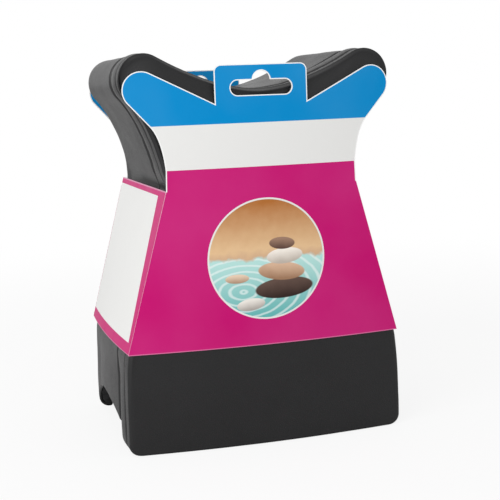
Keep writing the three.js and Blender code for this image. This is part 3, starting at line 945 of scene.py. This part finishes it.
class FOOTREST_OT_edge_band(bpy.types.Operator):
    """Band between the two front seams, convex like the foam under it, and lower at the wide strip"""

    bl_idname = "footrest.edge_band"
    bl_label = "Edge band"

    def execute(self, context):
        block = context.scene.footrest_block
        cover = Cover(block, -1, 0.0, seed=9)
        start = -block.depth / 2 + block.front_seam
        wide = -block.depth / 2 + block.band_seam - start
        z = cover.outline.point[:, 1]
        free = np.maximum(above_card(block, z), share(block.slant_low - CLEAR_BELOW - z, FADE))
        free = free * share(z, BAND_FLOOR_FADE)
        between = np.linspace(NEAR_SEAM[-1], wide - NEAR_SEAM[-1], 8)[1:-1]
        rows = []
        for place in [*NEAR_SEAM, *between, *(wide - n for n in NEAR_SEAM[::-1])]:
            points = cover.row(0, start + place, [(FRONT_SEAM, place), (BAND_SEAM, wide - place)])
            swell = block.band_swell * (1 - (2 * place / wide - 1) ** 2)
            step = block.band_step * math.exp(-(wide - place) / block.band_step_reach)
            points[:, [0, 2]] += cover.outline.normal * ((swell - step) * free)[:, None]
            rows.append(points)
        obj = mesh_piece("edge_band", *loft(rows))
        thicken(obj, block.cover)
        edge = arch_edge_points(block.channel_middle, block.channel_half, 0, block.channel_crown)
        side = 2 * block.base_half
        cut_by(obj, cutter_from([(-side, y, z) for y, z in edge], (2 * side, 0, 0)))
        finish_soft(obj, "front_band", side_leatherette(block))
        return {"FINISHED"}


class FOOTREST_OT_side_wrap(bpy.types.Operator):
    """Wide strip round the sides, wings and saddle, hemmed round the arches"""

    bl_idname = "footrest.side_wrap"
    bl_label = "Side wrap"

    POINTS = 460  # points of a row from one arch edge to the other
    SEARCH = 3000  # points among which an arch's edge is found
    LEAST_STEP = 0.1 * MM  # rows nearer than this are left out

    def execute(self, context):
        block = context.scene.footrest_block
        cover = Cover(block, 1, block.back_edge, seed=17)
        outline = cover.outline
        start = -block.depth / 2 + block.band_seam
        roll_from = block.depth / 2 - block.back_edge
        rows = []
        for y in self.depths(block, start, roll_from):
            angle = math.asin(max(0, y - roll_from) / block.back_edge)
            to_back = (block.back_seam - angle) * block.back_edge + max(0, roll_from - y)
            begin = self.arch_edge(block, outline, y, angle) + block.hem
            distances = np.linspace(begin, outline.total - begin, self.POINTS)
            skin = cover.row(angle, y, [(BAND_SEAM, y - start), (BACK_SEAM, to_back)], distances)
            rows.append(self.with_hems(block, skin, outline.at(distances)[1]))
        obj = mesh_piece("side_wrap", *loft(rows, closed=False))
        thicken(obj, block.cover)
        finish_soft(obj, "wrap_cover", side_leatherette(block))
        return {"FINISHED"}

    def depths(self, block, start, roll_from):
        """Depths of the rows: close together at the seams and over the channel"""
        swing = np.radians(np.linspace(0, 180, 37))
        turned = [block.back_seam - n / block.back_edge for n in NEAR_SEAM]
        depths = [start + n for n in NEAR_SEAM]
        depths += list(block.channel_middle - block.channel_half * np.cos(swing))
        depths += [roll_from + block.back_edge * math.sin(a) for a in turned]
        kept = [start]
        for y in sorted(depths):
            if y - kept[-1] > self.LEAST_STEP:
                kept.append(y)
        return kept[1:]

    def arch_edge(self, block, outline, y, angle):
        """Distance along the outline where the cover comes clear of the arches at a depth"""
        highest = outline.distance_at_height(block.channel_crown + 6 * MM)
        distances = np.linspace(0, highest, self.SEARCH)
        points = outline.ring(distances, y, block.back_edge * (1 - math.cos(angle)))[0]
        across = (y - block.channel_middle) / block.channel_half
        clear = points[:, 2] >= block.channel_crown * math.sqrt(max(0.0, 1 - across ** 2))
        if y > block.channel_middle:
            clear &= points[:, 0] >= block.arch_half
        return float(distances[np.argmax(clear)])

    def with_hems(self, block, skin, normal):
        """The row with its turned edge at both ends"""
        ends = []
        for end, side in ((0, 1), (-1, -1)):
            out = np.array([normal[end, 0], 0, normal[end, 1]])
            along = np.array([-normal[end, 1], 0, normal[end, 0]]) * side
            centre = skin[end] - out * block.hem
            turns = [math.pi / 2 * quarter / 4 for quarter in (1, 2, 3, 4)]
            hem = [centre + block.hem * (out * math.cos(a) - along * math.sin(a)) for a in turns]
            ends.append(np.array(hem))
        return np.concatenate([ends[0][::-1], skin, ends[1]])


class FOOTREST_OT_back_panel(bpy.types.Operator):
    """Back panel: crowned like the front, cut by the arch"""

    bl_idname = "footrest.back_panel"
    bl_label = "Back panel"

    def execute(self, context):
        block = context.scene.footrest_block
        cover = Cover(block, 1, block.back_edge, seed=21)
        rows = []
        beside_seam = [block.back_seam + n / cover.radius for n in NEAR_SEAM]
        for angle in [*beside_seam, *np.radians(range(66, 91, 6))]:
            near = (angle - block.back_seam) * cover.radius
            rows.append(cover.row(angle, cover.depth(angle), [(BACK_SEAM, near)]))
        obj = cover.panel("back_panel", rows)
        edge = arch_edge_points(0, block.arch_half, block.arch_spring, block.arch_crown)
        cut_by(obj, cutter_from([(x, block.channel_middle, z) for x, z in edge], (0, block.depth, 0)))
        finish_soft(obj, "back_cover", panel_leatherette(block))
        return {"FINISHED"}


class FOOTREST_OT_inside(bpy.types.Operator):
    """Foam of the block and the pad, and the lining of the arches"""

    bl_idname = "footrest.inside"
    bl_label = "Foam and lining"

    def execute(self, context):
        block = context.scene.footrest_block
        lining = copy_of_node("arch_lining", "base_lining")
        finish_soft(lining, "base_lining", lining_material())
        for name, node_name in (("block_foam", "foam_core"), ("pad_foam", "front_pad_foam")):
            foam = copy_of_node(name, node_name)
            for vertex, inwards in [(v, -v.normal * block.foam_slack) for v in foam.data.vertices]:
                vertex.co += inwards
            finish_soft(foam, node_name, foam_material())
        self.fit_pad(block)
        return {"FINISHED"}

    def fit_pad(self, block):
        """Draws the pad's foam back where the front panel falls away, so that it stays inside the cover"""
        edge = Outline(block).point
        for vertex in bpy.data.objects["pad_foam"].data.vertices:
            x, y, z = vertex.co
            inwards = np.hypot(edge[:, 0] - x, edge[:, 1] - z).min() - block.front_edge
            near = share(block.front_seam - block.depth / 2 - y, block.front_edge)
            vertex.co.y += float(near * (pillow_at(block, z, max(0, inwards)) + block.pillow_slack))


class FOOTREST_OT_stitches(bpy.types.Operator):
    """Rows of stitches that lie in the seams"""

    bl_idname = "footrest.stitches"
    bl_label = "Stitches"

    SINK = 1.4 * MM
    RADIUS = 0.26 * MM
    SIDES = 6
    # Rings of one stitch: place along half of it, share of the radius, lift out of the seam in millimetres
    RINGS = ((-1.0, 0.35, -0.22), (-0.6, 0.9, -0.02), (0.0, 1.0, 0.05), (0.6, 0.9, -0.02), (1.0, 0.35, -0.22))

    def execute(self, context):
        block = context.scene.footrest_block
        outline = Outline(block)
        front_y, band_y = (-block.depth / 2 + setback for setback in (block.front_seam, block.band_seam))
        self.seam(block, outline, "front", 0, front_y, 0)
        swing = (band_y - block.channel_middle) / block.channel_half
        edge = outline.distance_at_height(block.channel_crown * math.sqrt(1 - swing ** 2))
        self.seam(block, outline, "band", 0, band_y, edge)
        back_y = block.depth / 2 - block.back_edge * (1 - math.sin(block.back_seam))
        self.seam(block, outline, "back", block.back_seam, back_y, block.arch_half + block.back_edge / 3)
        return {"FINISHED"}

    def seam(self, block, outline, name, angle, y, edge):
        """Stitches along a seam, clear of the arches by the distance edge"""
        number = int(outline.total / block.stitch)
        distances = (np.arange(number) + 0.5) * outline.total / number
        if edge:
            distances = distances[np.minimum(distances, outline.total - distances) > edge + block.stitch]
        half = 0.36 * block.stitch
        inset = block.back_edge * (1 - math.cos(angle))
        lean = math.cos(angle)
        (middle, flat, normal), (ahead, _, _), (behind, _, _) = (
            outline.ring(distances + shift, y - self.SINK * math.sin(angle), inset, self.SINK, lean)
            for shift in (0, half, -half)
        )
        bowed = bow_at(block, y, flat[:, 1], normal[:, 0]) * lean
        bowed += pressed_at(block, y, flat[:, 1], angle, 1)
        out = facing(normal, angle, 1)
        middle = middle + out * bowed[:, None]
        along = ahead - behind
        along /= np.linalg.norm(along, axis=1)[:, None]
        across = np.cross(along, out)
        points, faces = [], []
        for spot in zip(middle, along * half, out, across):
            self.one_stitch(points, faces, *spot)
        obj = mesh_piece(f"{name}_stitches", points, faces)
        assign(obj, thread_material())
        stand_for(obj, "rest", f"{name}_seam_thread")

    def one_stitch(self, points, faces, middle, along, out, across):
        """A short thread, thick in its middle, with its two ends in the cover"""
        base = len(points)
        turns = [2 * math.pi * k / self.SIDES for k in range(self.SIDES)]
        rows = [
            [middle + along * place + out * (lift * MM + self.RADIUS * thick * math.cos(t))
             + across * self.RADIUS * thick * math.sin(t) for t in turns]
            for place, thick, lift in self.RINGS
        ]
        tube, sides = loft(rows)
        ends = [tuple(range(self.SIDES))[::-1], tuple(range(len(tube) - self.SIDES, len(tube)))]
        points += list(tube)
        faces += [tuple(base + i for i in face) for face in sides + ends]


# The card sleeve

# Where the back sheet's waist is drawn in, as shares: at its notch, just below the upper edge, at the flare
# and at the wings
PINCH_SHARES = (0, 1, 0.4, 0.35)


def level_thickness(block, thickness):
    """A thickness of card against the slanted side, measured level"""
    return thickness / math.cos(math.atan(side_slope(block)))


def sleeve_outline(block, sleeve, pinch):
    """Outline of a sheet, anticlockwise from the right foot, drawn in at the waist by pinch"""
    out = level_thickness(block, sleeve.gap + sleeve.card)
    notch_z = block.slant_high - pinch
    heights = (block.slant_low, notch_z, block.slant_high)
    foot, notch, waist = ((side_half(block, z) + out, z) for z in heights)
    edge_top = (sleeve.waist_half, sleeve.edge_top)
    corner = (sleeve.tab_half - sleeve.tab_corner, sleeve.tab_top - sleeve.tab_corner)
    half = np.concatenate([
        [foot, notch],
        bezier([waist, edge_top], 5),
        bezier([edge_top, (sleeve.flare_pull_half, sleeve.flare_pull), (sleeve.flare_half, sleeve.flare)], 16),
        arc((sleeve.wing_x, sleeve.wing_z), sleeve.wing_radius, sleeve.wing_under, sleeve.wing_over, 36),
        [(sleeve.tab_half, sleeve.notch)],
        arc(corner, sleeve.tab_corner, -0.05, math.pi / 2, 10),
    ])
    pinched = (notch_z, block.slant_high - 0.5 * MM, sleeve.flare, sleeve.wing_z)
    outer = share(half[:, 0] - sleeve.tab_half, sleeve.waist_half - sleeve.tab_half)
    half[:, 0] -= pinch * np.interp(half[:, 1], pinched, PINCH_SHARES) * outer
    return np.concatenate([half, half[::-1] * (-1, 1)])


def slot_outline(sleeve):
    """The hanging slot: a long round-ended hole with a dome over its middle"""
    end = sleeve.slot_half - sleeve.slot_radius
    top = sleeve.slot_z + sleeve.slot_radius
    quarter = math.pi / 2
    return np.concatenate([
        [(end, sleeve.slot_z - sleeve.slot_radius)],
        arc((end, sleeve.slot_z), sleeve.slot_radius, -quarter, quarter, 16),
        [(sleeve.dome_radius, top)],
        arc((0, top), sleeve.dome_radius, 0, math.pi, 20),
        arc((-end, sleeve.slot_z), sleeve.slot_radius, quarter, 3 * quarter, 16),
    ])


def offset_loop(loop, inwards):
    """A closed anticlockwise loop moved inwards"""
    before = loop - np.roll(loop, 1, axis=0)
    after = np.roll(loop, -1, axis=0) - loop
    before /= np.linalg.norm(before, axis=1)[:, None]
    after /= np.linalg.norm(after, axis=1)[:, None]
    inward = np.stack([-before[:, 1], before[:, 0]], axis=1)
    halfway = inward + np.stack([-after[:, 1], after[:, 0]], axis=1)
    halfway /= np.linalg.norm(halfway, axis=1)[:, None]
    return loop + halfway * (inwards / np.sum(halfway * inward, axis=1))[:, None]


def flat_plate(name, loops):
    """A flat plate in the XZ plane, cut to the first loop, with the other loops as holes"""
    curve = bpy.data.curves.new(name, "CURVE")
    curve.dimensions = "2D"
    curve.fill_mode = "BOTH"
    for loop in loops:
        spline = curve.splines.new("POLY")
        spline.points.add(len(loop) - 1)
        for spot, (x, z) in zip(spline.points, loop):
            spot.co = (x, z, 0, 1)
        spline.use_cyclic_u = True
    obj = bpy.data.objects.new(name, curve)
    bpy.context.scene.collection.objects.link(obj)
    select_only(obj)
    bpy.ops.object.convert(target="MESH")
    obj = bpy.context.object
    obj.rotation_euler = (math.pi / 2, 0, 0)
    bpy.ops.object.transform_apply(location=False, rotation=True, scale=False)
    return obj


def score(obj, places):
    """Cuts a plate into upright strips, so that it can be bent"""
    edit_all(obj)
    bpy.ops.mesh.remove_doubles(threshold=0.01 * MM)
    for x in places:
        bpy.ops.mesh.select_all(action="SELECT")
        bpy.ops.mesh.bisect(plane_co=(x, 0, 0), plane_no=(1, 0, 0))
    bpy.ops.object.mode_set(mode="OBJECT")


def bend(obj, shift):
    """Moves each vertex of a scored plate by its shift, one group of equal shifts at a time"""
    groups = {}
    for i, v in enumerate(obj.data.vertices):
        groups.setdefault(tuple(round(c, 6) for c in shift(v.co)), []).append(i)
    edit_all(obj)
    for move, members in groups.items():
        bpy.ops.mesh.select_all(action="DESELECT")
        bm = bmesh.from_edit_mesh(obj.data)
        bm.verts.ensure_lookup_table()
        for i in members:
            bm.verts[i].select_set(True)
        bmesh.update_edit_mesh(obj.data)
        bpy.ops.transform.translate(value=move)
    bpy.ops.object.mode_set(mode="OBJECT")


def finish_card_piece(obj, sleeve, body, node_name, outward):
    """Gives a bent plate its thickness, on its outer side, and its place in the frame"""
    edit_all(obj)
    bpy.ops.mesh.normals_make_consistent(inside=False)
    bpy.ops.object.mode_set(mode="OBJECT")
    looks = sum((p.normal * p.area for p in obj.data.polygons), Vector())
    if looks.dot(Vector(outward)) < 0:
        obj.data.flip_normals()
    apply_modifier(obj, "SOLIDIFY", "card", thickness=sleeve.card, offset=1.0, use_even_offset=True,
                   material_offset_rim=1)
    shade_by_angle(obj, 30)
    stand_for(obj, body, node_name)


class FOOTREST_OT_sleeve_sheets(bpy.types.Operator):
    """Front and back sheets of the sleeve, bent over the pads"""

    bl_idname = "footrest.sleeve_sheets"
    bl_label = "Sleeve sheets"

    SCORED_HALF = 0.068
    SCORES = 69

    def execute(self, context):
        block = context.scene.footrest_block
        sleeve = context.scene.footrest_sleeve
        for name, side, pinch in (("front", -1, 0.0), ("back", 1, sleeve.back_pinch)):
            print_mat = printed_card(block, sleeve, f"{name} sheet print", with_disc=side < 0)
            obj = self.sheet_with_margin(block, sleeve, name, pinch, print_mat)
            score(obj, np.linspace(-self.SCORED_HALF, self.SCORED_HALF, self.SCORES))
            start = block.depth / 2
            bend(obj, lambda co, side=side: (0, side * (start + crown_at(block, co.x) + sleeve.gap), 0))
            finish_card_piece(
                obj, sleeve, f"sleeve_{name}", f"sleeve_{name}_sheet", (0, side, 0)
            )
        return {"FINISHED"}

    def sheet_with_margin(self, block, sleeve, name, pinch, print_mat):
        """The printed face with a bare rim round its upper, cut-out part, as one flat sheet"""
        edge, slot = sleeve_outline(block, sleeve, pinch), slot_outline(sleeve)
        inner, outer = offset_loop(edge, sleeve.margin), offset_loop(slot, -sleeve.margin)
        face = flat_plate(f"{name}_sheet", [inner, outer])
        rims = [flat_plate("edge rim", [edge, inner]), flat_plate("slot rim", [outer, slot])]
        for obj in (face, *rims):
            assign(obj, print_mat, plain_card(sleeve))
        for rim in rims:
            for polygon in rim.data.polygons:
                polygon.material_index = int(polygon.center.z > block.slant_high)
        select_only(face)
        for rim in rims:
            rim.select_set(True)
        bpy.ops.object.join()
        return face


class FOOTREST_OT_sleeve_sides(bpy.types.Operator):
    """Side panels of the sleeve, bowed over the swell of the base, and the laps inside them"""

    bl_idname = "footrest.sleeve_sides"
    bl_label = "Sleeve sides"

    def execute(self, context):
        block = context.scene.footrest_block
        sleeve = context.scene.footrest_sleeve
        for name, side in (("left", -1), ("right", 1)):
            self.panel(block, sleeve, name, side)
            assign(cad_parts[f"sleeve_{name}_lap"], plain_card(sleeve))
        return {"FINISHED"}

    def panel(self, block, sleeve, name, side):
        inner = level_thickness(block, sleeve.gap)
        low, high = block.slant_low, block.slant_high
        wide = block.depth + 2 * crown_at(block, block.slant_low_half)
        bpy.ops.object.select_all(action="DESELECT")
        bpy.ops.mesh.primitive_grid_add(x_subdivisions=24, y_subdivisions=16, size=1, location=(0, 0, 0))
        obj = bpy.context.object
        obj.name = f"{name}_panel"
        obj.scale = (wide, high - low, 1)
        bpy.ops.object.transform_apply(location=False, rotation=False, scale=True)
        obj.rotation_euler = (math.pi / 2, 0, math.pi / 2)
        bpy.ops.object.transform_apply(location=False, rotation=True, scale=False)

        def shift(co):
            z = co.z + (low + high) / 2
            reach = block.depth / 2 + crown_at(block, side_half(block, z) + inner)
            y = co.y / wide * 2 * reach
            x = side * (side_half(block, z) + inner + float(bow_at(block, y, z, 1.0)))
            return x - co.x, y - co.y, z - co.z

        bend(obj, shift)
        assign(obj, side_card(block, sleeve), plain_card(sleeve))
        finish_card_piece(obj, sleeve, f"sleeve_{name}", f"sleeve_{name}_side", (side, 0, 0))


CLASSES = (
    FootrestBlock, FootrestSleeve, FootrestStage, FOOTREST_OT_stage, FOOTREST_OT_front_panel,
    FOOTREST_OT_edge_band, FOOTREST_OT_side_wrap, FOOTREST_OT_back_panel, FOOTREST_OT_inside,
    FOOTREST_OT_stitches, FOOTREST_OT_sleeve_sheets, FOOTREST_OT_sleeve_sides,
)
GROUPS = {"footrest_block": FootrestBlock, "footrest_sleeve": FootrestSleeve, "footrest_stage": FootrestStage}


class FOOTREST_PT_panel(bpy.types.Panel):
    """Sizes, colours and pieces of the footrest"""

    bl_idname = "FOOTREST_PT_panel"
    bl_label = "Footrest"
    bl_space_type = "VIEW_3D"
    bl_region_type = "UI"
    bl_category = "Footrest"

    def draw(self, context):
        layout = self.layout
        for cls in CLASSES:
            if issubclass(cls, bpy.types.Operator):
                layout.operator(cls.bl_idname)
        for group in GROUPS:
            box = layout.box()
            settings = getattr(context.scene, group)
            for key in settings.__annotations__:
                box.prop(settings, key)


def register():
    for cls in (*CLASSES, FOOTREST_PT_panel):
        bpy.utils.register_class(cls)
    for name, group in GROUPS.items():
        setattr(bpy.types.Scene, name, PointerProperty(type=group))


def unregister():
    for name in GROUPS:
        delattr(bpy.types.Scene, name)
    for cls in reversed((*CLASSES, FOOTREST_PT_panel)):
        bpy.utils.unregister_class(cls)


def main():
    register()
    bpy.ops.footrest.stage()
    bpy.ops.footrest.front_panel()
    bpy.ops.footrest.edge_band()
    bpy.ops.footrest.side_wrap()
    bpy.ops.footrest.back_panel()
    bpy.ops.footrest.inside()
    bpy.ops.footrest.stitches()
    bpy.ops.footrest.sleeve_sheets()
    bpy.ops.footrest.sleeve_sides()


if __name__ == "__main__":
    main()
